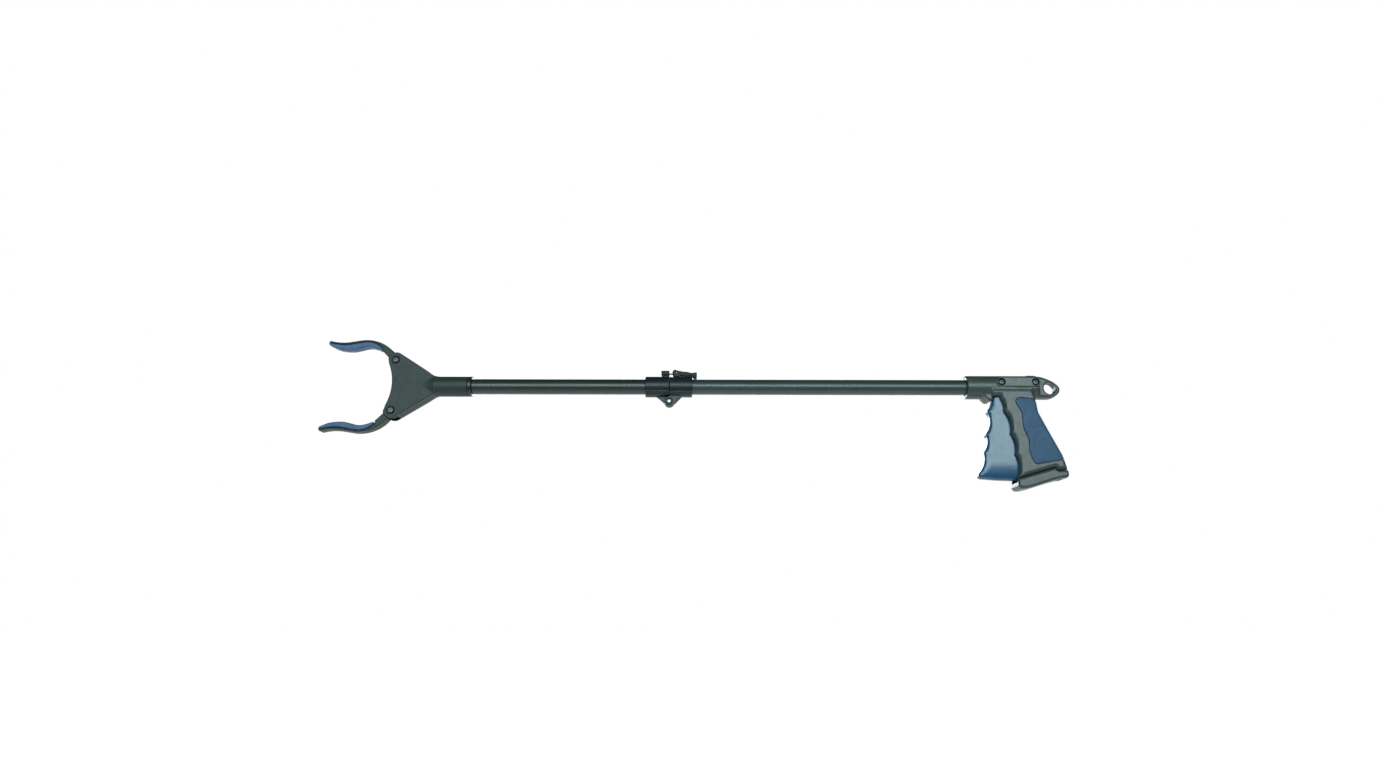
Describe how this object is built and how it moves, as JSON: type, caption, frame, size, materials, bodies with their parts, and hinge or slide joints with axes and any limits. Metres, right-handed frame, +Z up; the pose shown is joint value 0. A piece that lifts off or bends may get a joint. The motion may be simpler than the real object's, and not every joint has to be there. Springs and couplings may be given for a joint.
{
  "type": "reacher grabber",
  "caption": "Folding reacher grabber with a pistol handle, a squeeze trigger, a hinged tube with a cam lever, and padded jaws that a cable closes.",
  "frame": {"origin": "on the tube's axis, above the middle of the hand grip", "axes": "+X along the tube from the jaws to the handle, +Z up and away from the grip, +Y towards the right side of the handle"},
  "size_m": [0.7681, 0.0266, 0.1578],
  "materials": {
    "charcoal_moulding": "fine-grained matt charcoal moulding",
    "graphite_moulding": "satin graphite moulding",
    "olive_grey_moulding": "fine-grained matt grey-green moulding",
    "blue_rubber": "matt blue soft-touch rubber",
    "blue_moulding": "satin blue moulding",
    "tube_finish": "satin dark grey painted tube",
    "blackened_steel": "blackened screw steel",
    "plated_steel": "plated steel"
  },
  "bodies": {
    "rear_section": {"handle_shell_left": "olive_grey_moulding", "handle_shell_right": "olive_grey_moulding", "grip_insert_left": "blue_rubber", "grip_insert_right": "blue_rubber", "base_cap": "olive_grey_moulding", "base_cap_screw": "plated_steel", "trigger_pivot_screw": "blackened_steel", "housing_screw": "blackened_steel", "rear_tube": "tube_finish", "rear_tube_bush": "graphite_moulding", "cable_guide_bush": "graphite_moulding", "rear_collar": "graphite_moulding", "fold_hinge_pin": "plated_steel", "cam_lever_pin": "plated_steel"},
    "trigger": {"trigger": "blue_moulding", "cable_anchor_pin": "plated_steel"},
    "rear_cable": {"pull_cable_rear": "plated_steel", "cable_clevis": "plated_steel"},
    "cam_lever": {"cam_lever": "graphite_moulding"},
    "front_section": {"front_collar": "graphite_moulding", "latch_nut": "graphite_moulding", "latch_draw_rod": "blackened_steel", "front_tube": "tube_finish", "front_tube_bush": "graphite_moulding", "head_shell_left": "charcoal_moulding", "head_shell_right": "charcoal_moulding", "socket_end_ring": "graphite_moulding", "spring_seat": "plated_steel", "jaw_pivot_screw_upper": "blackened_steel", "jaw_pivot_nut_upper": "blackened_steel", "jaw_pivot_screw_lower": "blackened_steel", "jaw_pivot_nut_lower": "blackened_steel"},
    "front_cable": {"pull_cable_front": "plated_steel", "crosshead": "plated_steel", "return_spring": "plated_steel"},
    "upper_jaw": {"jaw_upper": "charcoal_moulding", "jaw_pad_upper": "blue_rubber"},
    "lower_jaw": {"jaw_lower": "charcoal_moulding", "jaw_pad_lower": "blue_rubber"}
  },
  "joints": [
    {"name": "trigger_squeeze", "type": "hinge", "parent": "rear_section", "child": "trigger", "pos_m": [-0.0224, 0, 0.0034], "axis": [0, -1, 0], "range_deg": [0, 20], "stiffness_Nm_per_rad": 1.2, "springref_deg": -17.19},
    {"name": "rear_cable_pull", "type": "slide", "parent": "rear_section", "child": "rear_cable", "axis": [1, 0, 0], "range_m": [0, 0.00395]},
    {"name": "cam_lever_turn", "type": "hinge", "parent": "rear_section", "child": "cam_lever", "pos_m": [-0.36, 0, 0.0145], "axis": [0, -1, 0], "range_deg": [0, 115]},
    {"name": "tube_fold", "type": "hinge", "parent": "rear_section", "child": "front_section", "pos_m": [-0.3674, 0, -0.0162], "axis": [0, -1, 0], "range_deg": [0, 150]},
    {"name": "front_cable_pull", "type": "slide", "parent": "front_section", "child": "front_cable", "axis": [1, 0, 0], "range_m": [0, 0.00395], "deforming": ["return_spring"]},
    {"name": "upper_jaw_close", "type": "hinge", "parent": "front_section", "child": "upper_jaw", "pos_m": [-0.6548, 0, 0.0273], "axis": [0, -1, 0], "range_deg": [0, 34]},
    {"name": "lower_jaw_close", "type": "hinge", "parent": "front_section", "child": "lower_jaw", "pos_m": [-0.6548, 0, -0.0273], "axis": [0, 1, 0], "range_deg": [0, 34]}
  ],
  "couplings": [
    {"joint": "rear_cable_pull", "follows": "trigger_squeeze", "m_per_rad": 0.01125},
    {"joint": "front_cable_pull", "follows": "trigger_squeeze", "m_per_rad": 0.01125},
    {"joint": "upper_jaw_close", "follows": "trigger_squeeze", "ratio": 1.695},
    {"joint": "lower_jaw_close", "follows": "trigger_squeeze", "ratio": 1.695}
  ]
}
